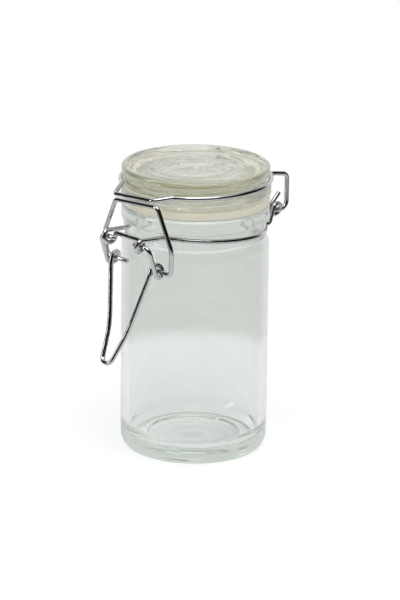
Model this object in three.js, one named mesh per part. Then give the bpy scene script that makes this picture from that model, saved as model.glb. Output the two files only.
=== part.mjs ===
// A lidded glass canister held shut by a bent-wire lever closure.
// Millimetres, +Z up. The origin is on the jar's axis, at the level it stands on.
// The hinge is at +Y and the closure's lever at -Y.

import * as THREE from 'three';

// ---------------------------------------------------------------- driving dimensions

const clearance = 0.3; // gap kept between neighbouring pieces

// Jar
const bodyRadius = 25;
const wallThickness = 3;
const floorThickness = 3.4;
const heelInset = 1.6; // the heel's lower edge inside the body's surface
const heelHeight = 3;
const innerHeelRadius = 6;
const bearingWidth = 6.4; // the flat ring that the jar stands on
const puntDepth = 0.4; // recess inside that ring
const puntSlope = 0.8;
const shoulderBase = 73; // where the shoulder begins to turn in
const shoulderHeight = 75;
const shoulderInset = 1.3; // shoulder's inner edge inside the body's surface
const neckInset = 2.4;
const neckLength = 5.4;
const beadOverhang = 0.1; // beyond the body
const beadHeight = 5.3;
const rimWidth = 4.8; // from the mouth to the bead's surface
const innerNeckLength = 9.6; // straight inside of the mouth
const innerShoulderLength = 6;

// Sealing ring
const gasketThickness = 2.7;
const gasketInset = 0.1; // inside the bead's surface

// Lid
const flangeOverhang = 0.3; // beyond the bead
const flangeThickness = 3.6;
const lidGrooveDepth = 0.8;
const lidGrooveHeight = 2.9;
const lidRimInset = 0.4; // inside the flange's edge
const lidRimHeight = 3.5;
const lidRimWidth = 1.8;
const lidRecessDepth = 1;
const lidRecessSlope = 1.6;
const lidCentreRadius = 14.3;
const lidCentreDepth = 0.4;
const plugDepth = 2.7; // how far the plug reaches below the jar's rim
const plugWidth = 5.7; // from the plug's hollow to its side
const plugHollowDepth = 1.6;
const plugHollowSlope = 1;

// Wire
const wireDiameter = 1.6;
const pinClearance = 0.4; // radial gap between a pin and the coil it turns in
const ringBend = 2; // bend where a ring turns off into a straight arm
const legBend = 2.4;
const tightBend = 1.6;

// Hinge at the back
const hingeDrop = 5.3; // hinge axis below the jar's rim
const hingeCoilX = 10; // middle of the coil's inner turn
const hingeCoilPitch = 1.8;
const hingeCoilGap = 1.1; // coil to the jar's bead
const hingePinLength = 4.9; // pin beyond the lid wire's leg
const hingeLegStandoff = 2.5; // leg behind the hinge axis
const hingeKneeHeight = 2.2;
const hingeArmDrop = 1.4; // how far each arm falls from the ring to its leg
const tailAngle = 135; // where the neck wire's free end leaves its coil, degrees

// Tongue of the lid wire
const tongueRootX = 12.4; // where it leaves the lid wire's ring
const tongueRootBend = 3;
const tongueHalfWidth = 9.6;
const tongueReach = 2.7; // crossbar beyond the lid wire's ring
const tongueDrop = 1.3;
const tongueBend = 2;
const tongueSlant = 1.6; // how far the tongue and the bail's bar rise from their -X end to the other

// Ears of the neck wire
const earReach = 7; // lever axis beyond the jar's body
const earDrop = 2.4; // lever axis below the jar's bead
const earX = 8.5;
const earPitch = 1.6;
const bridgeRise = 1.1; // bridge between the ears above the lever axis
const bridgeBend = 1;
const armLead = 1.6; // level wire before an arm rises to its ear

// Lever
const leverArmX = 12;
const leverPinLength = 7.5;
const bailStandoff = 2; // bail axis beyond the jar's body
const bailDrop = 8.9; // bail axis below the lever axis
const leverCoilPitch = 2.2;
const kneeHalfWidth = 4.7;
const kneeDrop = 20.8; // lever's knee below the bail axis
const kneeReach = 7.3; // lever's knee beyond the bail axis
const kneeBend = 28;
const tipHalfWidth = 2;
const tipDrop = 31.9;
const tipReach = 13.2;
const tipBend = 2.3;
const shoulderLead = 1.4; // straight wire between the lever's coil and its V
const shoulderBend = 2.5;

// Bail
const bailFootX = 16;
const bailPinLength = 10.4;
const bailWaistX = 16.5;
const bailWaistRise = 9; // waist above the bail axis
const bailWaistBend = 7;
const barHalfWidth = 10.3;
const barDrop = 0.8; // bar below the tongue
const barBend = 1.8;
const bailShift = 1.6; // the bail lies this far to one side in its coils
const bailLean = 2.4; // and its bar leans this much further to that side

// Facets
const latheSegments = 48;
const wireSides = 8;
const ringStep = 7.5; // degrees
const coilStep = 24;
const bendStep = 24;
const profileStep = 30;

// ---------------------------------------------------------------- derived sizes

const wireRadius = wireDiameter / 2;
const coilRadius = wireDiameter + pinClearance;
const coilOuterRadius = coilRadius + wireRadius;

const innerRadius = bodyRadius - wallThickness;
const shoulderRadius = bodyRadius - shoulderInset;
const neckRadius = bodyRadius - neckInset;
const beadRadius = bodyRadius + beadOverhang;
const mouthRadius = beadRadius - rimWidth;
const beadBottom = shoulderHeight + neckLength;
const rimTop = beadBottom + beadHeight;

const gasketRadius = beadRadius - gasketInset;
const gasketBottom = rimTop + clearance;
const gasketTop = gasketBottom + gasketThickness;
const flangeRadius = beadRadius + flangeOverhang;
const flangeBottom = gasketTop + clearance;
const flangeTop = flangeBottom + flangeThickness;
const lidRimRadius = flangeRadius - lidRimInset;
const lidGrooveRadius = lidRimRadius - lidGrooveDepth;
const lidGrooveTop = flangeTop + lidGrooveHeight;
const lidTop = lidGrooveTop + lidRimHeight;
const plugRadius = mouthRadius - clearance;
const plugHollowRadius = plugRadius - plugWidth;
const plugBottom = rimTop - plugDepth;

const lidRingRadius = lidGrooveRadius + clearance + wireRadius;
const lidRingFrontZ = flangeTop + clearance + wireRadius;
const lidRingBackZ = lidGrooveTop - clearance - wireRadius;
const neckRingRadius = neckRadius + clearance + wireRadius;
const neckRingFrontZ = beadBottom - clearance - wireRadius;
const neckRingBackZ = shoulderHeight + clearance + wireRadius;

const hingeY = chord(beadRadius, hingeCoilX) + hingeCoilGap + coilOuterRadius;
const hingeZ = rimTop - hingeDrop;
const hingeLegX = hingeCoilX + hingeCoilPitch + wireDiameter + clearance;
const earY = -bodyRadius - earReach;
const earZ = beadBottom - earDrop;
const bailY = -bodyRadius - bailStandoff;
const bailZ = earZ - bailDrop;

const tongueY = -lidRingRadius - tongueReach;
const tongueZ = lidRingFrontZ - tongueDrop;

// The bail's bar lies just outside the arc that the tongue swings through.
const tongueSweep = Math.hypot(tongueY - hingeY, tongueZ - hingeZ);
const barSweep = tongueSweep + wireDiameter + 2 * clearance;
const barZ = tongueZ - barDrop;
const barY = hingeY - chord(barSweep, barZ - hingeZ);

// The plug's lower edge swings past the rim of the mouth as the lid opens.
const plugSweep = Math.hypot(hingeY - mouthRadius + clearance, rimTop - hingeZ);
const plugBottomRadius = hingeY - chord(plugSweep, plugBottom - hingeZ) - clearance;

// The neck wire's free end stays inside the arc of the sealing ring's edge.
const gasketSweep = Math.hypot(hingeY - chord(gasketRadius, hingeCoilX), gasketBottom - hingeZ);
const tailSweep = gasketSweep - clearance - wireRadius;
const tailLength = chord(tailSweep, coilRadius);

// ---------------------------------------------------------------- geometry helpers

// The other side of a right triangle: half the chord of a circle at a distance from its centre.
function chord(radius, distance) {
  return Math.sqrt(radius * radius - distance * distance);
}

function degrees(angle) {
  return THREE.MathUtils.degToRad(angle);
}

function stop(x, y, z, bend = 0) {
  return { at: new THREE.Vector3(x, y, z), bend };
}

// Turns a list of stops into points, with an arc of its own radius at each stop that has a bend.
function roundCorners(stops, stepDegrees) {
  return stops.flatMap(({ at, bend }, index) => {
    const before = stops[index - 1];
    const after = stops[index + 1];
    if (bend === 0 || !before || !after) return [at];
    const arriving = at.clone().sub(before.at).normalize();
    const leaving = after.at.clone().sub(at).normalize();
    const turn = arriving.angleTo(leaving);
    const axis = new THREE.Vector3().crossVectors(arriving, leaving).normalize();
    const start = at.clone().addScaledVector(arriving, -bend * Math.tan(turn / 2));
    const inward = new THREE.Vector3().crossVectors(axis, arriving);
    const centre = start.clone().addScaledVector(inward, bend);
    const count = Math.max(2, Math.ceil(turn / degrees(stepDegrees)));
    return Array.from({ length: count + 1 }, (_, i) => {
      const spoke = start.clone().sub(centre).applyAxisAngle(axis, (turn * i) / count);
      return spoke.add(centre);
    });
  });
}

// A solid of revolution about Z from [radius, height, bend] corners that start and end on the axis.
function revolve(corners) {
  const stops = corners.map(([radius, height, bend]) => stop(radius, height, 0, bend));
  return lathe(roundCorners(stops, profileStep));
}

// A ring about Z of rectangular section with rounded edges.
function revolveRing(inner, outer, bottom, top, bend) {
  const middle = (inner + outer) / 2;
  const corners = [
    [middle, bottom],
    [outer, bottom, bend],
    [outer, top, bend],
    [inner, top, bend],
    [inner, bottom, bend],
    [middle, bottom],
  ];
  return revolve(corners);
}

function lathe(points) {
  const profile = points.map((point) => new THREE.Vector2(point.x, point.y));
  return new THREE.LatheGeometry(profile, latheSegments).rotateX(Math.PI / 2);
}

// A curve that visits each of its points in turn, facing halfway between its two neighbours.
class WireCurve extends THREE.Curve {
  constructor(points) {
    super();
    this.points = points;
  }

  getPoint(t, target = new THREE.Vector3()) {
    return target.copy(this.points[Math.round(t * (this.points.length - 1))]);
  }

  getTangent(t, target = new THREE.Vector3()) {
    const index = Math.round(t * (this.points.length - 1));
    const here = this.points[index];
    const before = this.points[Math.max(index - 1, 0)];
    const after = this.points[Math.min(index + 1, this.points.length - 1)];
    const arriving = here.clone().sub(before).normalize();
    const leaving = after.clone().sub(here).normalize();
    return target.copy(arriving.add(leaving).normalize());
  }

  getUtoTmapping(u) {
    return u;
  }
}

// Round wire along a list of stops.
function wire(stops) {
  const points = roundCorners(stops, bendStep);
  const section = Array.from({ length: wireSides }, (_, i) => {
    const angle = (2 * Math.PI * (i + 0.5)) / wireSides;
    return new THREE.Vector2(Math.cos(angle), Math.sin(angle)).multiplyScalar(wireRadius);
  });
  return new THREE.ExtrudeGeometry(new THREE.Shape(section), {
    steps: points.length - 1,
    extrudePath: new WireCurve(points),
  });
}

// The stops of a wire's half as seen on its other side, in reverse so that they carry the path on.
function mirrored(half) {
  return half.map(({ at, bend }) => stop(-at.x, at.y, at.z, bend)).reverse();
}

// Wire that is the same on both sides.
function mirroredWire(half) {
  return wire([...half, ...mirrored(half)]);
}

// One coil about a line along X, easing sideways from one end to the other.
function coil(axisY, axisZ, fromX, toX, fromDegrees, toDegrees) {
  const count = Math.ceil(Math.abs(toDegrees - fromDegrees) / coilStep);
  return Array.from({ length: count + 1 }, (_, i) => {
    const angle = degrees(fromDegrees + ((toDegrees - fromDegrees) * i) / count);
    const x = fromX + (toX - fromX) * THREE.MathUtils.smoothstep(i / count, 0, 1);
    return stop(x, axisY + coilRadius * Math.cos(angle), axisZ + coilRadius * Math.sin(angle));
  });
}

// Where a wire from outside meets a coil smoothly: side is 1 where it comes on ahead of the
// point's own direction and -1 where it leaves behind it.
function tangentDegrees(axisY, axisZ, y, z, side) {
  const towards = Math.atan2(z - axisZ, y - axisY);
  const offset = Math.acos(coilRadius / Math.hypot(y - axisY, z - axisZ));
  return THREE.MathUtils.radToDeg(towards + side * offset);
}

// The level of a ring that tilts evenly from its front to its back.
function tilt(radius, frontZ, backZ) {
  return (y) => (frontZ + backZ) / 2 + ((backZ - frontZ) * y) / (2 * radius);
}

// Stops along an arc about a point of the XY plane, angles in radians.
function arc(centreX, centreY, radius, from, to, stepDegrees, levelAt) {
  const count = Math.ceil(Math.abs(to - from) / degrees(stepDegrees));
  return Array.from({ length: count + 1 }, (_, i) => {
    const angle = from + ((to - from) * i) / count;
    const y = centreY + radius * Math.sin(angle);
    return stop(centreX + radius * Math.cos(angle), y, levelAt(y));
  });
}

// The outward bend that joins a ring to an arm running out along Y at x = armX.
function armBend(radius, armX) {
  const x = armX + ringBend;
  const y = chord(radius + ringBend, x);
  return { x, y, angle: Math.atan2(y, x) };
}

function armOntoRing(bend, levelAt) {
  return arc(bend.x, bend.y, ringBend, Math.PI, Math.PI + bend.angle, bendStep, levelAt);
}

function ringOntoArm(bend, levelAt) {
  return arc(bend.x, -bend.y, ringBend, Math.PI - bend.angle, Math.PI, bendStep, levelAt);
}

// The part of a ring strictly between two angles.
function ringBetween(radius, from, to, levelAt) {
  return arc(0, 0, radius, from, to, ringStep, levelAt).slice(1, -1);
}

// ---------------------------------------------------------------- pieces

function jar() {
  const innerShoulder = rimTop - innerNeckLength;
  const bearingRadius = bodyRadius - heelInset;
  const puntEdge = bearingRadius - bearingWidth;
  return revolve([
    [0, puntDepth],
    [puntEdge - puntSlope, puntDepth],
    [puntEdge, 0],
    [bearingRadius, 0, 1.2],
    [bodyRadius, heelHeight, 5],
    [bodyRadius, shoulderBase, 4],
    [shoulderRadius, shoulderHeight, 0.9],
    [neckRadius, shoulderHeight, 0.5],
    [neckRadius, beadBottom, 0.5],
    [beadRadius, beadBottom, 1],
    [beadRadius, rimTop, 1.3],
    [mouthRadius, rimTop, 1],
    [mouthRadius, innerShoulder, 3],
    [innerRadius, innerShoulder - innerShoulderLength, 3],
    [innerRadius, floorThickness, innerHeelRadius],
    [0, floorThickness],
  ]);
}

function gasket() {
  return revolveRing(plugRadius + clearance, gasketRadius, gasketBottom, gasketTop, 0.6);
}

function lid() {
  const recessRadius = lidRimRadius - lidRimWidth;
  const recessZ = lidTop - lidRecessDepth;
  return revolve([
    [0, plugBottom + plugHollowDepth],
    [plugHollowRadius - plugHollowSlope, plugBottom + plugHollowDepth],
    [plugHollowRadius, plugBottom, 0.4],
    [plugBottomRadius, plugBottom, 0.8],
    [plugRadius, rimTop],
    [plugRadius, flangeBottom],
    [flangeRadius, flangeBottom, 0.7],
    [flangeRadius, flangeTop, 0.9],
    [lidGrooveRadius, flangeTop],
    [lidGrooveRadius, lidGrooveTop],
    [lidRimRadius, lidGrooveTop, 0.5],
    [lidRimRadius, lidTop, 1],
    [recessRadius, lidTop, 0.6],
    [recessRadius - lidRecessSlope, recessZ, 0.8],
    [lidCentreRadius + lidCentreDepth, recessZ],
    [lidCentreRadius, recessZ - lidCentreDepth],
    [0, recessZ - lidCentreDepth],
  ]);
}

// Hinge pins, two legs, the ring in the lid's groove and the tongue in front.
function lidWire() {
  const levelAt = tilt(lidRingRadius, lidRingFrontZ, lidRingBackZ);
  const legY = hingeY + hingeLegStandoff;
  const back = armBend(lidRingRadius, hingeLegX);
  const rootY = -chord(lidRingRadius, tongueRootX);
  const rootAngle = Math.atan2(rootY, tongueRootX);
  const half = (side) => [
    stop(hingeLegX - hingePinLength, hingeY, hingeZ),
    stop(hingeLegX, hingeY, hingeZ, tightBend),
    stop(hingeLegX, legY, hingeZ + hingeKneeHeight, legBend),
    stop(hingeLegX, legY, levelAt(legY) - hingeArmDrop, legBend),
    ...armOntoRing(back, levelAt),
    ...ringBetween(lidRingRadius, back.angle, rootAngle, levelAt),
    stop(tongueRootX, rootY, levelAt(rootY), tongueRootBend),
    stop(tongueHalfWidth, tongueY, tongueZ + (side * tongueSlant) / 2, tongueBend),
  ];
  return wire([...half(1), ...mirrored(half(-1))]);
}

// The ring round the neck, coiled at the back for the hinge and in front for the lever.
function neckWire() {
  const levelAt = tilt(neckRingRadius, neckRingFrontZ, neckRingBackZ);
  const riserX = hingeCoilX + hingeCoilPitch;
  const back = armBend(neckRingRadius, riserX);
  const riserY = back.y + tightBend;
  const riserEnd = tangentDegrees(hingeY, hingeZ, riserY, levelAt(riserY), -1);
  const tail = degrees(tailAngle);
  const tailY = hingeY + coilRadius * Math.cos(tail) + tailLength * Math.sin(tail);
  const tailZ = hingeZ + coilRadius * Math.sin(tail) - tailLength * Math.cos(tail);
  const front = armBend(neckRingRadius, earX);
  const armY = -front.y - armLead;
  const earStart = tangentDegrees(earY, earZ, armY, levelAt(armY), 1);
  const bridgeX = earX - earPitch;
  return mirroredWire([
    stop(hingeCoilX, tailY, tailZ),
    ...coil(hingeY, hingeZ, hingeCoilX, riserX, tailAngle, 360 + wrap(riserEnd)),
    stop(riserX, riserY, levelAt(riserY), tightBend),
    ...armOntoRing(back, levelAt),
    ...ringBetween(neckRingRadius, back.angle, -front.angle, levelAt),
    ...ringOntoArm(front, levelAt),
    stop(earX, armY, levelAt(armY), tightBend),
    ...coil(earY, earZ, earX, bridgeX, earStart, 360),
    stop(bridgeX, earY + coilRadius, earZ + bridgeRise, bridgeBend),
  ]);
}

function wrap(angle) {
  return ((angle % 360) + 360) % 360;
}

// Pins in the neck wire's ears, two arms, coils for the bail and the V that a thumb lifts.
function lever() {
  const armEnd = tangentDegrees(bailY, bailZ, earY, earZ, 1);
  const vX = leverArmX - leverCoilPitch;
  const vStart = wrap(tangentDegrees(bailY, bailZ, bailY - kneeReach, bailZ - kneeDrop, -1));
  const direction = degrees(vStart);
  const leadY = bailY + coilRadius * Math.cos(direction) - shoulderLead * Math.sin(direction);
  const leadZ = bailZ + coilRadius * Math.sin(direction) + shoulderLead * Math.cos(direction);
  return mirroredWire([
    stop(leverArmX - leverPinLength, earY, earZ),
    stop(leverArmX, earY, earZ, legBend),
    ...coil(bailY, bailZ, leverArmX, vX, armEnd, 360 + vStart),
    stop(vX, leadY, leadZ, shoulderBend),
    stop(kneeHalfWidth, bailY - kneeReach, bailZ - kneeDrop, kneeBend),
    stop(tipHalfWidth, bailY - tipReach, bailZ - tipDrop, tipBend),
  ]);
}

// Pins in the lever's coils, two legs and the bar that hooks over the tongue.
// Each half is drawn on the +X side, so what moves the bail to that side moves the mirrored half in.
function bail() {
  const waistShare = bailWaistRise / (barZ - bailZ);
  const waistY = bailY + (barY - bailY) * waistShare;
  const half = (side) => {
    const shiftAt = (share) => side * (bailShift + bailLean * share);
    const footX = bailFootX + shiftAt(0);
    const barEndZ = barZ + (side * tongueSlant) / 2;
    return [
      stop(footX - bailPinLength, bailY, bailZ),
      stop(footX, bailY, bailZ, legBend),
      stop(bailWaistX + shiftAt(waistShare), waistY, bailZ + bailWaistRise, bailWaistBend),
      stop(barHalfWidth + shiftAt(1), barY, barEndZ, barBend),
    ];
  };
  return wire([...half(1), ...mirrored(half(-1))]);
}

// ---------------------------------------------------------------- assembly

function material(color, roughness, metalness, opacity = 1) {
  const look = { color, roughness, metalness, opacity, transparent: opacity < 1 };
  return new THREE.MeshStandardMaterial(look);
}

const jarGlass = material(0xd9dfda, 0.05, 0, 0.35);
const lidGlass = material(0xc9c9b8, 0.06, 0, 0.45);
const rubber = material(0xe1d6c0, 0.6, 0);
const steel = material(0xc4c7c6, 0.2, 1);

const canister = new THREE.Group();

function addPiece(name, geometry, look) {
  const piece = new THREE.Mesh(geometry, look);
  piece.name = name;
  canister.add(piece);
  return piece;
}

addPiece('jar', jar(), jarGlass);
addPiece('gasket', gasket(), rubber);
addPiece('lid', lid(), lidGlass);
addPiece('neck_wire', neckWire(), steel);
addPiece('lid_wire', lidWire(), steel);
addPiece('lever', lever(), steel);
addPiece('bail', bail(), steel);

export default canister;
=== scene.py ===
"""Looks for a lidded glass canister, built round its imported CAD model. Metres, +Z up.

Each CAD solid is replaced by a finer piece of the same sizes, worked out in millimetres, with its
sharp edges eased. Only the jar's inner floor differs: it has a step and a tighter bend at its edge.
"""

import math

import bpy
from mathutils import Matrix, Vector


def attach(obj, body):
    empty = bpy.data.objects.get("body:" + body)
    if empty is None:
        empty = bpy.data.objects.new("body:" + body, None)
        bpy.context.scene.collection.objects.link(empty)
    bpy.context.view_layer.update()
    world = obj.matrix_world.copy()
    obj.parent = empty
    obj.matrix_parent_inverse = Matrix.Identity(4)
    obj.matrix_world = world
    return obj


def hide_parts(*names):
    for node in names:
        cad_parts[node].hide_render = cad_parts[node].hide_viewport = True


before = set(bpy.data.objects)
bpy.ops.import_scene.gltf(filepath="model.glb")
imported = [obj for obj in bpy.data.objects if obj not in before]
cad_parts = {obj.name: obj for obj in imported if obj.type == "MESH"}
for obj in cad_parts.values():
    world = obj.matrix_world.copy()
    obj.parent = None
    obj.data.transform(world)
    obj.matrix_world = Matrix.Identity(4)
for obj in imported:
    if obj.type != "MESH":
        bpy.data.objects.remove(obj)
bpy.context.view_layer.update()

MM = 0.001

# ---------------------------------------------------------------- sizes, as in the CAD model

CLEARANCE = 0.3

BODY_RADIUS = 25
INNER_RADIUS = 22
FLOOR_THICKNESS = 3.4
HEEL_INSET = 1.6
HEEL_HEIGHT = 3
INNER_HEEL_RADIUS = 5.4  # 6 in the CAD model
FLOOR_STEP = 0.8  # the floor outside the step is this much thicker, not so in the CAD model
FLOOR_STEP_RADII = (15.9, 15.3)
BEARING_WIDTH = 6.4
PUNT_DEPTH = 0.4
PUNT_SLOPE = 0.8
SHOULDER_BASE = 73
SHOULDER_HEIGHT = 75
SHOULDER_RADIUS = 23.7
NECK_RADIUS = 22.6
BEAD_BOTTOM = 80.4
BEAD_RADIUS = 25.1
RIM_TOP = 85.7
MOUTH_RADIUS = 20.3
INNER_NECK_LENGTH = 9.6
INNER_SHOULDER_LENGTH = 6

GASKET_RADIUS = 25
GASKET_BOTTOM = 86
GASKET_TOP = 88.7

FLANGE_RADIUS = 25.4
FLANGE_BOTTOM = 89
FLANGE_TOP = 92.6
LID_GROOVE_RADIUS = 24.2
LID_GROOVE_TOP = 95.5
LID_RIM_RADIUS = 25
LID_TOP = 99
LID_RIM_WIDTH = 1.8
LID_RECESS_DEPTH = 1
LID_RECESS_SLOPE = 1.6
LID_CENTRE_RADIUS = 14.3
LID_CENTRE_DEPTH = 0.4
PLUG_RADIUS = 20
PLUG_BOTTOM = 83
PLUG_BOTTOM_RADIUS = 18.3
PLUG_HOLLOW_RADIUS = 14.3
PLUG_HOLLOW_DEPTH = 1.6
PLUG_HOLLOW_SLOPE = 1

WIRE_RADIUS = 0.8
COIL_RADIUS = 2
RING_BEND = 2
LEG_BEND = 2.4
TIGHT_BEND = 1.6
LID_RING_RADIUS = 25.3
LID_RING_FRONT_Z = 93.7
LID_RING_BACK_Z = 94.4
NECK_RING_RADIUS = 23.7
NECK_RING_FRONT_Z = 79.3
NECK_RING_BACK_Z = 76.1

HINGE_Y = 26.922
HINGE_Z = 80.4
HINGE_COIL_X = 10
HINGE_COIL_PITCH = 1.8
HINGE_LEG_X = 13.7
HINGE_PIN_LENGTH = 4.9
HINGE_LEG_STANDOFF = 2.5
HINGE_KNEE_HEIGHT = 2.2
HINGE_ARM_DROP = 1.4
TAIL_ANGLE = 135
TAIL_LENGTH = 5.43

TONGUE_ROOT_X = 12.4
TONGUE_ROOT_BEND = 3
TONGUE_HALF_WIDTH = 9.6
TONGUE_Y = -28
TONGUE_Z = 92.4
TONGUE_BEND = 2
TONGUE_SLANT = 1.6

EAR_X = 8.5
EAR_Y = -32
EAR_Z = 78
EAR_PITCH = 1.6
BRIDGE_RISE = 1.1
BRIDGE_BEND = 1
ARM_LEAD = 1.6

LEVER_ARM_X = 12
LEVER_PIN_LENGTH = 7.5
LEVER_COIL_PITCH = 2.2
BAIL_Y = -27
BAIL_Z = 69.1
KNEE = (4.7, -34.3, 48.3)
KNEE_BEND = 28
TIP = (2, -40.2, 37.2)
TIP_BEND = 2.3
SHOULDER_LEAD = 1.4
SHOULDER_BEND = 2.5

BAIL_FOOT_X = 16
BAIL_PIN_LENGTH = 10.4
BAIL_WAIST_X = 16.5
BAIL_WAIST_RISE = 9
BAIL_WAIST_BEND = 7
BAR_HALF_WIDTH = 10.3
BAR_Y = -30.412
BAR_Z = 91.6
BAR_BEND = 1.8
BAIL_SHIFT = 1.6
BAIL_LEAN = 2.4

# ---------------------------------------------------------------- facets

LATHE_SEGMENTS = 192
PROFILE_STEP = 9
WIRE_SIDES = 20
RING_STEP = 3
COIL_STEP = 9
BEND_STEP = 9
CUT_END = ((0.0, 0.66), (0.06, 0.86), (0.2, 0.98))  # distances from a cut end, shares of the radius
SAME_POINT = 1e-4
TINY = 1e-6

# ---------------------------------------------------------------- solids of revolution


def rotated(vector, angle):
    c, s = math.cos(angle), math.sin(angle)
    return Vector((vector.x * c - vector.y * s, vector.x * s + vector.y * c))


def profile(corners):
    """Points and directions along a rounded outline of (radius, height, bend) corners."""
    out = []
    for i, (radius, height, bend) in enumerate(corners):
        here = Vector((radius, height))
        before = Vector(corners[i - 1][:2]) if i else None
        after = Vector(corners[i + 1][:2]) if i + 1 < len(corners) else None
        if before is None or after is None:
            along = after - here if before is None else here - before
            out.append((here, along.normalized()))
            continue
        arriving = (here - before).normalized()
        leaving = (after - here).normalized()
        turn = math.atan2(arriving.cross(leaving), arriving.dot(leaving))
        if abs(turn) < TINY:
            out.append((here, arriving))
            continue
        start = here - arriving * bend * math.tan(abs(turn) / 2)
        inward = rotated(arriving, math.copysign(math.pi / 2, turn))
        centre = start + inward * bend
        count = max(2, math.ceil(abs(turn) / math.radians(PROFILE_STEP)))
        for k in range(count + 1):
            angle = turn * k / count
            out.append((centre + rotated(start - centre, angle), rotated(arriving, angle)))
    return out


def revolve(name, corners, closed=False):
    """A turned piece. Its outline runs anticlockwise, from axis to axis or once round a ring."""
    outline = profile(corners)
    if closed:
        outline = outline[:-1]
    vertices, normals, rows = [], [], []
    for point, along in outline:
        if point.x < TINY:
            rows.append([len(vertices)] * LATHE_SEGMENTS)
            vertices.append((0, 0, point.y * MM))
            normals.append((0, 0, -math.copysign(1, along.x)))
            continue
        row = []
        for k in range(LATHE_SEGMENTS):
            angle = 2 * math.pi * k / LATHE_SEGMENTS
            c, s = math.cos(angle), math.sin(angle)
            row.append(len(vertices))
            vertices.append((point.x * c * MM, point.x * s * MM, point.y * MM))
            normals.append((along.y * c, along.y * s, -along.x))
        rows.append(row)
    following = rows[1:] + rows[:1] if closed else rows[1:]
    faces = []
    for low, high in zip(rows, following):
        for k in range(LATHE_SEGMENTS):
            n = (k + 1) % LATHE_SEGMENTS
            loop = [low[k], low[n], high[n], high[k]]
            face = [v for j, v in enumerate(loop) if v != loop[j - 1]]
            if len(face) > 2:
                faces.append(face)
    mesh = bpy.data.meshes.new(name)
    mesh.from_pydata(vertices, [], faces)
    mesh.shade_smooth()
    mesh.normals_split_custom_set_from_vertices(normals)
    return add(name, mesh)


def add(name, mesh):
    piece = bpy.data.objects.new(name, mesh)
    bpy.context.scene.collection.objects.link(piece)
    return piece


# ---------------------------------------------------------------- bent wire


def stop(x, y, z, bend=0.0):
    return Vector((x, y, z)), bend


def round_corners(stops):
    """Points along a line of stops, with an arc at each stop that has a bend."""
    out = []
    for i, (at, bend) in enumerate(stops):
        if bend == 0 or i in (0, len(stops) - 1):
            out.append(at.copy())
            continue
        arriving = (at - stops[i - 1][0]).normalized()
        leaving = (stops[i + 1][0] - at).normalized()
        turn = arriving.angle(leaving)
        axis = arriving.cross(leaving).normalized()
        start = at - arriving * bend * math.tan(turn / 2)
        centre = start + axis.cross(arriving) * bend
        count = max(2, math.ceil(turn / math.radians(BEND_STEP)))
        for k in range(count + 1):
            spin = Matrix.Rotation(turn * k / count, 3, axis)
            out.append(centre + spin @ (start - centre))
    return out


def tube(name, path):
    """A round wire along a path, with its cut ends rounded off and a map along its length."""
    path = [p for i, p in enumerate(path) if not i or (p - path[i - 1]).length > SAME_POINT]
    tangents = []
    for i, here in enumerate(path):
        arriving = (here - path[max(i - 1, 0)]).normalized()
        leaving = (path[min(i + 1, len(path) - 1)] - here).normalized()
        tangents.append((arriving + leaving).normalized())
    side = tangents[0].orthogonal().normalized()
    rings = []
    travelled = 0.0
    for i, (here, tangent) in enumerate(zip(path, tangents)):
        if i:
            side = tangents[i - 1].rotation_difference(tangent) @ side
            side = (side - tangent * side.dot(tangent)).normalized()
            travelled += (here - path[i - 1]).length
        rings.append((here, tangent, side.copy(), travelled, 1.0))
    start, out, side, _, _ = rings[0]
    head = [(start + out * inset, out, side, inset, share) for inset, share in CUT_END]
    end, out, side, travelled, _ = rings[-1]
    tail = [(end - out * inset, out, side, travelled - inset, share) for inset, share in CUT_END]
    rings = head + rings[1:-1] + tail[::-1]
    vertices, faces, maps = [], [], []
    for here, tangent, sideways, _, share in rings:
        up = tangent.cross(sideways)
        for k in range(WIRE_SIDES):
            angle = 2 * math.pi * k / WIRE_SIDES
            spoke = sideways * math.cos(angle) + up * math.sin(angle)
            vertices.append((here + spoke * WIRE_RADIUS * share) * MM)
    for i in range(len(rings) - 1):
        for k in range(WIRE_SIDES):
            n = (k + 1) % WIRE_SIDES
            low, high = i * WIRE_SIDES, (i + 1) * WIRE_SIDES
            faces.append((low + k, low + n, high + n, high + k))
            maps.append([(k, i), (k + 1, i), (k + 1, i + 1), (k, i + 1)])
    faces.append(tuple(reversed(range(WIRE_SIDES))))
    maps.append([(k, 0) for k in reversed(range(WIRE_SIDES))])
    top = (len(rings) - 1) * WIRE_SIDES
    faces.append(tuple(range(top, top + WIRE_SIDES)))
    maps.append([(k, len(rings) - 1) for k in range(WIRE_SIDES)])
    mesh = bpy.data.meshes.new(name)
    mesh.from_pydata(vertices, [], faces)
    mesh.shade_smooth()
    layer = mesh.uv_layers.new(name="along")
    spots = [spot for face in maps for spot in face]
    for entry, (k, i) in zip(layer.data, spots):
        entry.uv = (k / WIRE_SIDES, rings[i][3] / (2 * math.pi * WIRE_RADIUS))
    return add(name, mesh)


def both_sides(half, other_half):
    """A path through two halves, each drawn on the +X side and the second then mirrored."""
    other = [(Vector((-at.x, at.y, at.z)), bend) for at, bend in reversed(other_half)]
    return round_corners(half + other)


def mirrored(half):
    return both_sides(half, half)


def chord(radius, distance):
    return math.sqrt(radius * radius - distance * distance)


def coil(axis_y, axis_z, from_x, to_x, from_degrees, to_degrees):
    count = math.ceil(abs(to_degrees - from_degrees) / COIL_STEP)
    out = []
    for i in range(count + 1):
        t = i / count
        angle = math.radians(from_degrees + (to_degrees - from_degrees) * t)
        x = from_x + (to_x - from_x) * t * t * (3 - 2 * t)
        y = axis_y + COIL_RADIUS * math.cos(angle)
        out.append(stop(x, y, axis_z + COIL_RADIUS * math.sin(angle)))
    return out


def tangent_degrees(axis_y, axis_z, y, z, side):
    towards = math.atan2(z - axis_z, y - axis_y)
    offset = math.acos(COIL_RADIUS / math.hypot(y - axis_y, z - axis_z))
    return math.degrees(towards + side * offset)


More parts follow.
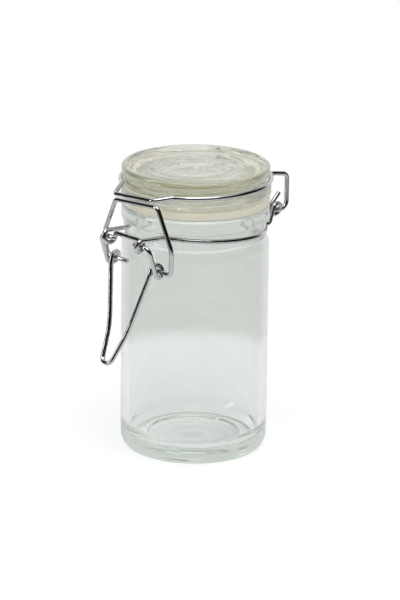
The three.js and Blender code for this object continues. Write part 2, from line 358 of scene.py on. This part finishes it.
def tilt(radius, front_z, back_z):
    return lambda y: (front_z + back_z) / 2 + (back_z - front_z) * y / (2 * radius)


def arc(centre, radius, start, end, step, level):
    count = math.ceil(abs(end - start) / math.radians(step))
    out = []
    for i in range(count + 1):
        angle = start + (end - start) * i / count
        y = centre[1] + radius * math.sin(angle)
        out.append(stop(centre[0] + radius * math.cos(angle), y, level(y)))
    return out


def arm_bend(radius, arm_x):
    x = arm_x + RING_BEND
    y = chord(radius + RING_BEND, x)
    return x, y, math.atan2(y, x)


def arm_onto_ring(bend, level):
    return arc(bend, RING_BEND, math.pi, math.pi + bend[2], BEND_STEP, level)


def ring_onto_arm(bend, level):
    return arc((bend[0], -bend[1]), RING_BEND, math.pi - bend[2], math.pi, BEND_STEP, level)


def ring_between(radius, start, end, level):
    return arc((0, 0), radius, start, end, RING_STEP, level)[1:-1]


# ---------------------------------------------------------------- pieces


def make_jar():
    inner_shoulder = RIM_TOP - INNER_NECK_LENGTH
    punt_edge = BODY_RADIUS - HEEL_INSET - BEARING_WIDTH
    return revolve("jar_body", [
        (0, PUNT_DEPTH, 0),
        (punt_edge - PUNT_SLOPE, PUNT_DEPTH, 0.5),
        (punt_edge, 0, 0.5),
        (BODY_RADIUS - HEEL_INSET, 0, 1.2),
        (BODY_RADIUS, HEEL_HEIGHT, 5),
        (BODY_RADIUS, SHOULDER_BASE, 4),
        (SHOULDER_RADIUS, SHOULDER_HEIGHT, 0.9),
        (NECK_RADIUS, SHOULDER_HEIGHT, 0.5),
        (NECK_RADIUS, BEAD_BOTTOM, 0.5),
        (BEAD_RADIUS, BEAD_BOTTOM, 1),
        (BEAD_RADIUS, RIM_TOP, 1.3),
        (MOUTH_RADIUS, RIM_TOP, 1),
        (MOUTH_RADIUS, inner_shoulder, 3),
        (INNER_RADIUS, inner_shoulder - INNER_SHOULDER_LENGTH, 3),
        (INNER_RADIUS, FLOOR_THICKNESS + FLOOR_STEP, INNER_HEEL_RADIUS),
        (FLOOR_STEP_RADII[0], FLOOR_THICKNESS + FLOOR_STEP, 0.4),
        (FLOOR_STEP_RADII[1], FLOOR_THICKNESS, 0.3),
        (0, FLOOR_THICKNESS, 0),
    ])


def make_gasket():
    inner = PLUG_RADIUS + CLEARANCE
    middle = (inner + GASKET_RADIUS) / 2
    return revolve("sealing_ring", [
        (middle, GASKET_BOTTOM, 0),
        (GASKET_RADIUS, GASKET_BOTTOM, 0.6),
        (GASKET_RADIUS, GASKET_TOP, 0.6),
        (inner, GASKET_TOP, 0.6),
        (inner, GASKET_BOTTOM, 0.6),
        (middle, GASKET_BOTTOM, 0),
    ], closed=True)


def make_lid():
    recess_radius = LID_RIM_RADIUS - LID_RIM_WIDTH
    recess_z = LID_TOP - LID_RECESS_DEPTH
    hollow_z = PLUG_BOTTOM + PLUG_HOLLOW_DEPTH
    return revolve("lid_disc", [
        (0, hollow_z, 0),
        (PLUG_HOLLOW_RADIUS - PLUG_HOLLOW_SLOPE, hollow_z, 0.5),
        (PLUG_HOLLOW_RADIUS, PLUG_BOTTOM, 0.4),
        (PLUG_BOTTOM_RADIUS, PLUG_BOTTOM, 0.8),
        (PLUG_RADIUS, RIM_TOP, 0.5),
        (PLUG_RADIUS, FLANGE_BOTTOM, 0.2),
        (FLANGE_RADIUS, FLANGE_BOTTOM, 0.7),
        (FLANGE_RADIUS, FLANGE_TOP, 0.9),
        (LID_GROOVE_RADIUS, FLANGE_TOP, 0.2),
        (LID_GROOVE_RADIUS, LID_GROOVE_TOP, 0.2),
        (LID_RIM_RADIUS, LID_GROOVE_TOP, 0.5),
        (LID_RIM_RADIUS, LID_TOP, 1),
        (recess_radius, LID_TOP, 0.6),
        (recess_radius - LID_RECESS_SLOPE, recess_z, 0.8),
        (LID_CENTRE_RADIUS + LID_CENTRE_DEPTH, recess_z, 0.25),
        (LID_CENTRE_RADIUS, recess_z - LID_CENTRE_DEPTH, 0.25),
        (0, recess_z - LID_CENTRE_DEPTH, 0),
    ])


def make_lid_wire():
    level = tilt(LID_RING_RADIUS, LID_RING_FRONT_Z, LID_RING_BACK_Z)
    leg_y = HINGE_Y + HINGE_LEG_STANDOFF
    back = arm_bend(LID_RING_RADIUS, HINGE_LEG_X)
    root_y = -chord(LID_RING_RADIUS, TONGUE_ROOT_X)
    root_angle = math.atan2(root_y, TONGUE_ROOT_X)

    def half(side):
        return [
            stop(HINGE_LEG_X - HINGE_PIN_LENGTH, HINGE_Y, HINGE_Z),
            stop(HINGE_LEG_X, HINGE_Y, HINGE_Z, TIGHT_BEND),
            stop(HINGE_LEG_X, leg_y, HINGE_Z + HINGE_KNEE_HEIGHT, LEG_BEND),
            stop(HINGE_LEG_X, leg_y, level(leg_y) - HINGE_ARM_DROP, LEG_BEND),
            *arm_onto_ring(back, level),
            *ring_between(LID_RING_RADIUS, back[2], root_angle, level),
            stop(TONGUE_ROOT_X, root_y, level(root_y), TONGUE_ROOT_BEND),
            stop(TONGUE_HALF_WIDTH, TONGUE_Y, TONGUE_Z + side * TONGUE_SLANT / 2, TONGUE_BEND),
        ]

    return tube("lid_wire_bent", both_sides(half(1), half(-1)))


def make_neck_wire():
    level = tilt(NECK_RING_RADIUS, NECK_RING_FRONT_Z, NECK_RING_BACK_Z)
    riser_x = HINGE_COIL_X + HINGE_COIL_PITCH
    back = arm_bend(NECK_RING_RADIUS, riser_x)
    riser_y = back[1] + TIGHT_BEND
    riser_end = tangent_degrees(HINGE_Y, HINGE_Z, riser_y, level(riser_y), -1) % 360
    tail = math.radians(TAIL_ANGLE)
    tail_y = HINGE_Y + COIL_RADIUS * math.cos(tail) + TAIL_LENGTH * math.sin(tail)
    tail_z = HINGE_Z + COIL_RADIUS * math.sin(tail) - TAIL_LENGTH * math.cos(tail)
    front = arm_bend(NECK_RING_RADIUS, EAR_X)
    arm_y = -front[1] - ARM_LEAD
    ear_start = tangent_degrees(EAR_Y, EAR_Z, arm_y, level(arm_y), 1)
    bridge_x = EAR_X - EAR_PITCH
    return tube("neck_wire_bent", mirrored([
        stop(HINGE_COIL_X, tail_y, tail_z),
        *coil(HINGE_Y, HINGE_Z, HINGE_COIL_X, riser_x, TAIL_ANGLE, 360 + riser_end),
        stop(riser_x, riser_y, level(riser_y), TIGHT_BEND),
        *arm_onto_ring(back, level),
        *ring_between(NECK_RING_RADIUS, back[2], -front[2], level),
        *ring_onto_arm(front, level),
        stop(EAR_X, arm_y, level(arm_y), TIGHT_BEND),
        *coil(EAR_Y, EAR_Z, EAR_X, bridge_x, ear_start, 360),
        stop(bridge_x, EAR_Y + COIL_RADIUS, EAR_Z + BRIDGE_RISE, BRIDGE_BEND),
    ]))


def make_lever():
    arm_end = tangent_degrees(BAIL_Y, BAIL_Z, EAR_Y, EAR_Z, 1)
    v_x = LEVER_ARM_X - LEVER_COIL_PITCH
    v_start = tangent_degrees(BAIL_Y, BAIL_Z, KNEE[1], KNEE[2], -1) % 360
    direction = math.radians(v_start)
    lead_y = BAIL_Y + COIL_RADIUS * math.cos(direction) - SHOULDER_LEAD * math.sin(direction)
    lead_z = BAIL_Z + COIL_RADIUS * math.sin(direction) + SHOULDER_LEAD * math.cos(direction)
    return tube("lever_bent", mirrored([
        stop(LEVER_ARM_X - LEVER_PIN_LENGTH, EAR_Y, EAR_Z),
        stop(LEVER_ARM_X, EAR_Y, EAR_Z, LEG_BEND),
        *coil(BAIL_Y, BAIL_Z, LEVER_ARM_X, v_x, arm_end, 360 + v_start),
        stop(v_x, lead_y, lead_z, SHOULDER_BEND),
        stop(*KNEE, KNEE_BEND),
        stop(*TIP, TIP_BEND),
    ]))


def bail_half(side):
    """Drawn on the +X side, so a move to that side counts down in the mirrored half."""
    share = BAIL_WAIST_RISE / (BAR_Z - BAIL_Z)
    waist_x = BAIL_WAIST_X + side * (BAIL_SHIFT + BAIL_LEAN * share)
    waist_y = BAIL_Y + (BAR_Y - BAIL_Y) * share
    foot_x = BAIL_FOOT_X + side * BAIL_SHIFT
    bar_x = BAR_HALF_WIDTH + side * (BAIL_SHIFT + BAIL_LEAN)
    return [
        stop(foot_x - BAIL_PIN_LENGTH, BAIL_Y, BAIL_Z),
        stop(foot_x, BAIL_Y, BAIL_Z, LEG_BEND),
        stop(waist_x, waist_y, BAIL_Z + BAIL_WAIST_RISE, BAIL_WAIST_BEND),
        stop(bar_x, BAR_Y, BAR_Z + side * TONGUE_SLANT / 2, BAR_BEND),
    ]


def make_bail():
    return tube("bail_bent", both_sides(bail_half(1), bail_half(-1)))


# ---------------------------------------------------------------- shader nodes


def filled(made, values):
    """A node with its settings and its sockets' own values set by name."""
    for key, value in values.items():
        if hasattr(made, key):
            setattr(made, key, value)
        else:
            made.inputs[key.replace("_", " ")].default_value = value
    return made


def material(name, **values):
    made = bpy.data.materials.new(name)
    made.use_nodes = True
    tree = made.node_tree
    return made, tree, filled(tree.nodes["Principled BSDF"], values)


def node(tree, kind, **values):
    return filled(tree.nodes.new(kind), values)


def feed(tree, part, socket):
    """Give a socket what another socket puts out, or else a number or a colour of its own."""
    if isinstance(part, bpy.types.NodeSocket):
        tree.links.new(part, socket)
    else:
        socket.default_value = (*part, 1) if isinstance(part, tuple) else part


def mapped(tree, value, source, target=(0, 1), kind="LINEAR"):
    made = node(tree, "ShaderNodeMapRange", interpolation_type=kind, From_Min=source[0],
                From_Max=source[1], To_Min=target[0], To_Max=target[1])
    tree.links.new(value, made.inputs["Value"])
    return made.outputs["Result"]


def ramp(tree, value, source, target=(0, 1)):
    return mapped(tree, value, source, target, "SMOOTHSTEP")


def worked(tree, operation, first, second):
    made = node(tree, "ShaderNodeMath", operation=operation)
    feed(tree, first, made.inputs[0])
    feed(tree, second, made.inputs[1])
    return made.outputs["Value"]


def vector_worked(tree, operation, vector, other=None):
    made = node(tree, "ShaderNodeVectorMath", operation=operation)
    tree.links.new(vector, made.inputs[0])
    if other is not None:
        made.inputs[1].default_value = other
    return made.outputs


def blended(tree, share, plain, other):
    made = node(tree, "ShaderNodeMix", data_type="RGBA")
    tree.links.new(share, made.inputs["Factor"])
    feed(tree, plain, made.inputs["A"])
    feed(tree, other, made.inputs["B"])
    return made.outputs["Result"]


def mixed(tree, share, plain, other):
    made = node(tree, "ShaderNodeMixShader")
    tree.links.new(share, made.inputs["Fac"])
    tree.links.new(plain, made.inputs[1])
    tree.links.new(other, made.inputs[2])
    return made.outputs["Shader"]


def by_ray(tree, plain, *cases):
    """The last case whose kind of ray this is, or else the plain shader."""
    path = node(tree, "ShaderNodeLightPath")
    shader = plain
    for name, seen in cases:
        shader = mixed(tree, path.outputs[name], shader, seen)
    return shader


def coordinates(tree, kind="Object"):
    return node(tree, "ShaderNodeTexCoord").outputs[kind]


def split(tree, vector):
    made = node(tree, "ShaderNodeSeparateXYZ")
    tree.links.new(vector, made.inputs["Vector"])
    return made.outputs


def noise(tree, vector, scale, detail):
    made = node(tree, "ShaderNodeTexNoise", Scale=scale, Detail=detail)
    tree.links.new(vector, made.inputs["Vector"])
    return made.outputs["Fac"]


def bump(tree, height, strength, distance, under=None):
    """A bumped normal, on top of another one if that is given."""
    made = node(tree, "ShaderNodeBump", Strength=strength, Distance=distance)
    tree.links.new(height, made.inputs["Height"])
    if under:
        tree.links.new(under, made.inputs["Normal"])
    return made.outputs["Normal"]


def noise_bump(tree, vector, scale, detail, strength, distance, stretch=(1, 1, 1)):
    mapping = node(tree, "ShaderNodeMapping", Scale=stretch)
    tree.links.new(vector, mapping.inputs["Vector"])
    height = noise(tree, mapping.outputs["Vector"], scale, detail)
    return bump(tree, height, strength, distance)


def between_tones(tree, value, dark, pale):
    made = node(tree, "ShaderNodeValToRGB")
    made.color_ramp.elements[0].color = (*dark, 1)
    made.color_ramp.elements[1].color = (*pale, 1)
    tree.links.new(value, made.inputs["Fac"])
    return made.outputs["Color"]


# ---------------------------------------------------------------- materials, lengths in metres

GLASS_IOR = 1.5
WAVE_SCALE = 70
WAVE_DETAIL = 1.5
WAVE_HEIGHT = 0.0006
WAVE_STRETCH = (1, 1, 0.5)
RING_HEIGHT = 0.0003
RING_SCALES = (300, 420, 30)  # out from the axis, up, and across
PRESSED_TOP = (0.072, 0.078)  # heights between which the mould's marks come in
PRESSED_BASE = (0.012, 0.008)
CALM_RADII = (0.003, 0.014)  # from the calmer middle to the full marks
CALM_SHARE = 0.25
DISC_HEIGHTS = (0.0915, 0.0935)  # from the lid's flange to its disc
# Past this ray depth the glass glows with painted light instead of going black; the noise range
# makes that glow streaky.
GLOW_DEPTH = 5.5
GLOW_NOISE = (0.35, 0.65)

WIRE_ROUGHNESS = (0.05, 0.14)


def glass(name, tint, absorption, density, ripple, rings, shadow, glow_strengths):
    """Pressed glass: clear, a little uneven, tinted by its own thickness, and glowing with painted
    light where rays go deep.
    """
    made, tree, bsdf = material(name, Base_Color=(*tint, 1), Roughness=0.0, IOR=GLASS_IOR,
                                Transmission_Weight=1.0)
    output = tree.nodes["Material Output"]
    place = coordinates(tree)
    waves = noise_bump(tree, place, WAVE_SCALE, WAVE_DETAIL, ripple, WAVE_HEIGHT, WAVE_STRETCH)
    streaks = noise(tree, round_axis(tree, place), scale=1, detail=1)
    pressed = worked(tree, "MULTIPLY", streaks, pressed_parts(tree, place))
    tree.links.new(bump(tree, pressed, rings, RING_HEIGHT, waves), bsdf.inputs["Normal"])
    passed = node(tree, "ShaderNodeBsdfTransparent", Color=(shadow, shadow, shadow, 1))
    # A ray that has bounced about inside for long would turn black, so the glass glows there with a
    # streaky painted light of its own, though it is no lamp.
    painted_glow = node(tree, "ShaderNodeEmission", Color=(*tint, 1))
    tree.links.new(mapped(tree, streaks, GLOW_NOISE, glow_strengths), painted_glow.inputs["Strength"])
    made.cycles.emission_sampling = "NONE"
    path = node(tree, "ShaderNodeLightPath")
    deep = worked(tree, "GREATER_THAN", path.outputs["Ray Depth"], GLOW_DEPTH)
    with_painted_glow = mixed(tree, deep, bsdf.outputs["BSDF"], painted_glow.outputs["Emission"])
    cast = by_ray(tree, with_painted_glow, ("Is Shadow Ray", passed.outputs["BSDF"]))
    tree.links.new(cast, output.inputs["Surface"])
    depth = node(tree, "ShaderNodeVolumeAbsorption", Density=density, Color=(*absorption, 1))
    tree.links.new(depth.outputs["Volume"], output.inputs["Volume"])
    return made


def cloud_and_paint_pale_flange(made, cloudy, disc_tone, flange_painted_pale_tone):
    """The lid's flange is cloudier than the disc above it and paler: a painted lightness in place
    of the light that the flange reflects.
    """
    tree = made.node_tree
    bsdf = tree.nodes["Principled BSDF"]
    on_disc = ramp(tree, split(tree, coordinates(tree))["Z"], DISC_HEIGHTS)
    clearness = mapped(tree, on_disc, (0, 1), (cloudy, 1))
    tree.links.new(clearness, bsdf.inputs["Transmission Weight"])
    tree.links.new(blended(tree, on_disc, flange_painted_pale_tone, disc_tone), bsdf.inputs["Base Color"])


def from_axis(tree, place):
    flat = vector_worked(tree, "MULTIPLY", place, (1, 1, 0))["Vector"]
    return vector_worked(tree, "LENGTH", flat)["Value"]


def pressed_parts(tree, place):
    """How much the mould marks the glass: at the base, the neck and the lid, less near the axis."""
    height = split(tree, place)["Z"]
    top = ramp(tree, height, PRESSED_TOP)
    both = worked(tree, "ADD", top, ramp(tree, height, PRESSED_BASE))
    marked = ramp(tree, from_axis(tree, place), CALM_RADII, (CALM_SHARE, 1))
    return worked(tree, "MULTIPLY", marked, both)


def round_axis(tree, place):
    """Distance from the axis and height, fine, with the place across, coarse."""
    parts = split(tree, place)
    both = node(tree, "ShaderNodeCombineXYZ")
    measures = (from_axis(tree, place), parts["Z"], parts["X"])
    for slot, (measure, scale) in enumerate(zip(measures, RING_SCALES)):
        tree.links.new(worked(tree, "MULTIPLY", measure, scale), both.inputs[slot])
    return both.outputs["Vector"]


def plated_wire(name):
    """Bright plated wire with faint drawing lines along it and slight uneven polish."""
    made, tree, bsdf = material(name, Metallic=1.0)
    lines = noise_bump(tree, coordinates(tree, "UV"), scale=14, detail=3,
                       strength=0.06, distance=0.0002, stretch=(4, 0.15, 1))
    cloud = noise(tree, coordinates(tree), scale=450, detail=3)
    tone = between_tones(tree, cloud, dark=(0.50, 0.51, 0.51), pale=(0.65, 0.66, 0.66))
    tree.links.new(lines, bsdf.inputs["Normal"])
    tree.links.new(mapped(tree, cloud, (0, 1), WIRE_ROUGHNESS), bsdf.inputs["Roughness"])
    tree.links.new(tone, bsdf.inputs["Base Color"])
    return made


def rubber(name):
    """Matt cream rubber with a fine skin and faint clouding."""
    made, tree, bsdf = material(name, Roughness=0.55, Subsurface_Weight=0.25,
                                Subsurface_Radius=(0.0012, 0.0009, 0.0006), Subsurface_Scale=1.0)
    place = coordinates(tree)
    skin = noise_bump(tree, place, scale=2600, detail=3, strength=0.12, distance=0.0001)
    cloud = noise(tree, place, scale=160, detail=4)
    tone = between_tones(tree, cloud, dark=(0.85, 0.81, 0.67), pale=(0.93, 0.90, 0.76))
    tree.links.new(skin, bsdf.inputs["Normal"])
    tree.links.new(tone, bsdf.inputs["Base Color"])
    return made


# ---------------------------------------------------------------- the object


def install(piece, look, node_name, body):
    """Give a piece its material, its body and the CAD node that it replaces."""
    piece.data.materials.append(look)
    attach(piece, body)
    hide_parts(node_name)


LID_TONE = (0.95, 0.95, 0.91)

jar_glass = glass("jar_glass", tint=(0.97, 0.985, 0.975), absorption=(0.79, 0.87, 0.81), density=15,
                  ripple=0.10, rings=0.5, shadow=0.85, glow_strengths=(0.2, 0.9))
lid_glass = glass("lid_glass", tint=LID_TONE, absorption=(0.80, 0.80, 0.71), density=38,
                  ripple=0.6, rings=3.2, shadow=0.6, glow_strengths=(0.0, 0.9))
# The flange's cloudier, paler tone is painted light, standing in for light reflected in the flange.
cloud_and_paint_pale_flange(lid_glass, cloudy=0.78, disc_tone=LID_TONE, flange_painted_pale_tone=(1, 1, 0.99))
steel = plated_wire("plated_wire")

install(make_jar(), jar_glass, "jar", "jar")
install(make_lid(), lid_glass, "lid", "lid")
install(make_gasket(), rubber("cream_rubber"), "gasket", "lid")
install(make_neck_wire(), steel, "neck_wire", "jar")
install(make_lid_wire(), steel, "lid_wire", "lid")
install(make_lever(), steel, "lever", "lever")
install(make_bail(), steel, "bail", "bail")

# ---------------------------------------------------------------- camera

AZIMUTH = math.radians(47)
ELEVATION = math.radians(17.87)
DISTANCE = 1.2
ROLL = math.radians(0.65)
LENS = 211.8
AIM_HEIGHT = 0.0508
AIM_SIDE = 0.00182
CLIP = (0.05, 20)


def direction(azimuth, elevation=0.0):
    """From the object towards a place seen round it, where azimuth 0 is straight in front, -Y."""
    level = math.cos(elevation)
    return Vector((math.sin(azimuth) * level, -math.cos(azimuth) * level, math.sin(elevation)))


def make_camera():
    right = Vector((math.cos(AZIMUTH), math.sin(AZIMUTH), 0))
    back = direction(AZIMUTH, ELEVATION)
    rolled_right = right * math.cos(ROLL) + back.cross(right) * math.sin(ROLL)
    rolled_up = back.cross(rolled_right)
    data = bpy.data.cameras.new("camera")
    data.lens = LENS
    data.clip_start, data.clip_end = CLIP
    camera = bpy.data.objects.new("camera", data)
    bpy.context.scene.collection.objects.link(camera)
    camera.location = Vector((0, 0, AIM_HEIGHT)) + right * AIM_SIDE + back * DISTANCE
    camera.rotation_euler = Matrix((rolled_right, rolled_up, back)).transposed().to_euler()
    bpy.context.scene.camera = camera


make_camera()

# ---------------------------------------------------------------- floor, light and background

FLOOR_HALF_WIDTH = 0.3
FLOOR_Z = -0.0001  # so that the base and the floor share no plane
FLOOR_TONE = (0.79, 0.79, 0.79)
FLOOR_LEAD = 0.022  # how far towards the camera the middle of its fading edge lies
FLOOR_FADE = (0.132, 0.152)
# Light of its own that the floor adds for each kind of ray.
FLOOR_LIFTS = (("Is Glossy Ray", 0.1), ("Is Transmission Ray", 0.14), ("Is Camera Ray", 0.33))

AMBIENT = 0.6
WHITE = (1, 1, 1)
LAMP_AIM_HEIGHT = 0.05
TOWARDS_CAMERA = direction(AZIMUTH)

# The room as it is mirrored and as it shows through glass. The pairs say how far up a direction
# points, or how far towards the camera, where the tone begins and ends to change.
MIRROR_PALE = (0.9, 0.9, 0.9)
MIRROR_FRONT = (0.01, 0.01, 0.01)
MIRROR_TABLE = (0.5, 0.5, 0.5)
MIRROR_OVERHEAD = (0.9, 0.78)
MIRROR_AHEAD = (-0.75, -0.45)
THROUGH_PALE = (0.67, 0.68, 0.66)
THROUGH_FRONT = (0.62, 0.62, 0.62)
THROUGH_OVERHEAD = (0.6, 0.4)
THROUGH_AHEAD = (-0.45, -0.15)
TABLE_EDGE = (-0.2, -0.3)


def lifted(tree, shader, strength):
    """A shader with a little light of its own added."""
    glow = node(tree, "ShaderNodeEmission", Strength=strength)
    both = node(tree, "ShaderNodeAddShader")
    tree.links.new(shader, both.inputs[0])
    tree.links.new(glow.outputs["Emission"], both.inputs[1])
    return both.outputs["Shader"]


def make_floor():
    w, z = FLOOR_HALF_WIDTH, FLOOR_Z
    mesh = bpy.data.meshes.new("floor")
    mesh.from_pydata([(-w, -w, z), (w, -w, z), (w, w, z), (-w, w, z)], [], [(0, 1, 2, 3)])
    floor = add("floor", mesh)
    made, tree, bsdf = material("pale_floor", Base_Color=(*FLOOR_TONE, 1), Roughness=0.9,
                                Specular_IOR_Level=0.0)
    matt = bsdf.outputs["BSDF"]
    shown = by_ray(tree, matt, *((ray, lifted(tree, matt, lift)) for ray, lift in FLOOR_LIFTS))
    middle = TOWARDS_CAMERA * FLOOR_LEAD
    out = vector_worked(tree, "SUBTRACT", coordinates(tree), middle)["Vector"]
    fade = ramp(tree, vector_worked(tree, "LENGTH", out)["Value"], FLOOR_FADE)
    clear = node(tree, "ShaderNodeBsdfTransparent")
    faded = mixed(tree, fade, shown, clear.outputs["BSDF"])
    tree.links.new(faded, tree.nodes["Material Output"].inputs["Surface"])
    mesh.materials.append(made)


def make_world():
    world = bpy.data.worlds.new("studio")
    bpy.context.scene.world = world
    world.use_nodes = True
    tree = world.node_tree
    tree.nodes.clear()
    light = background(tree, WHITE, AMBIENT)
    mirror = room_view(tree, MIRROR_PALE, MIRROR_FRONT, MIRROR_TABLE, MIRROR_OVERHEAD, MIRROR_AHEAD)
    through = room_view(tree, THROUGH_PALE, THROUGH_FRONT, THROUGH_FRONT,
                        THROUGH_OVERHEAD, THROUGH_AHEAD)
    shown = by_ray(tree, light, ("Is Glossy Ray", mirror), ("Is Transmission Ray", through),
                   ("Is Camera Ray", background(tree, WHITE)))
    tree.links.new(shown, node(tree, "ShaderNodeOutputWorld").inputs["Surface"])


def background(tree, tone, strength=1.0):
    made = node(tree, "ShaderNodeBackground", Strength=strength)
    feed(tree, tone, made.inputs["Color"])
    return made.outputs["Background"]


def room_view(tree, pale_tone, front_tone, table_tone, overhead, ahead):
    """The room: white overhead, pale behind the object, and dimmer elsewhere down to the table."""
    way = coordinates(tree, "Generated")
    facing = vector_worked(tree, "DOT_PRODUCT", way, TOWARDS_CAMERA)["Value"]
    height = split(tree, way)["Z"]
    low = ramp(tree, height, overhead)
    dim = worked(tree, "MULTIPLY", ramp(tree, facing, ahead), low)
    front = blended(tree, ramp(tree, height, TABLE_EDGE), front_tone, table_tone)
    return background(tree, blended(tree, dim, blended(tree, low, WHITE, pale_tone), front))


def softbox(name, azimuth, elevation, distance, width, height, power):
    """An area light aimed at the object's middle, placed by angles in degrees."""
    towards = direction(math.radians(azimuth), math.radians(elevation))
    data = bpy.data.lights.new(name, "AREA")
    data.shape = "RECTANGLE"
    data.size, data.size_y = width, height
    data.energy = power
    lamp = bpy.data.objects.new(name, data)
    bpy.context.scene.collection.objects.link(lamp)
    lamp.location = Vector((0, 0, LAMP_AIM_HEIGHT)) + towards * distance
    lamp.rotation_euler = towards.to_track_quat("Z", "Y").to_euler()


make_floor()
make_world()
softbox("top", azimuth=58, elevation=70, distance=0.8, width=0.5, height=0.5, power=2.0)
softbox("left", azimuth=-30, elevation=25, distance=0.8, width=0.14, height=0.6, power=1.4)

bpy.context.scene.view_settings.view_transform = "Standard"
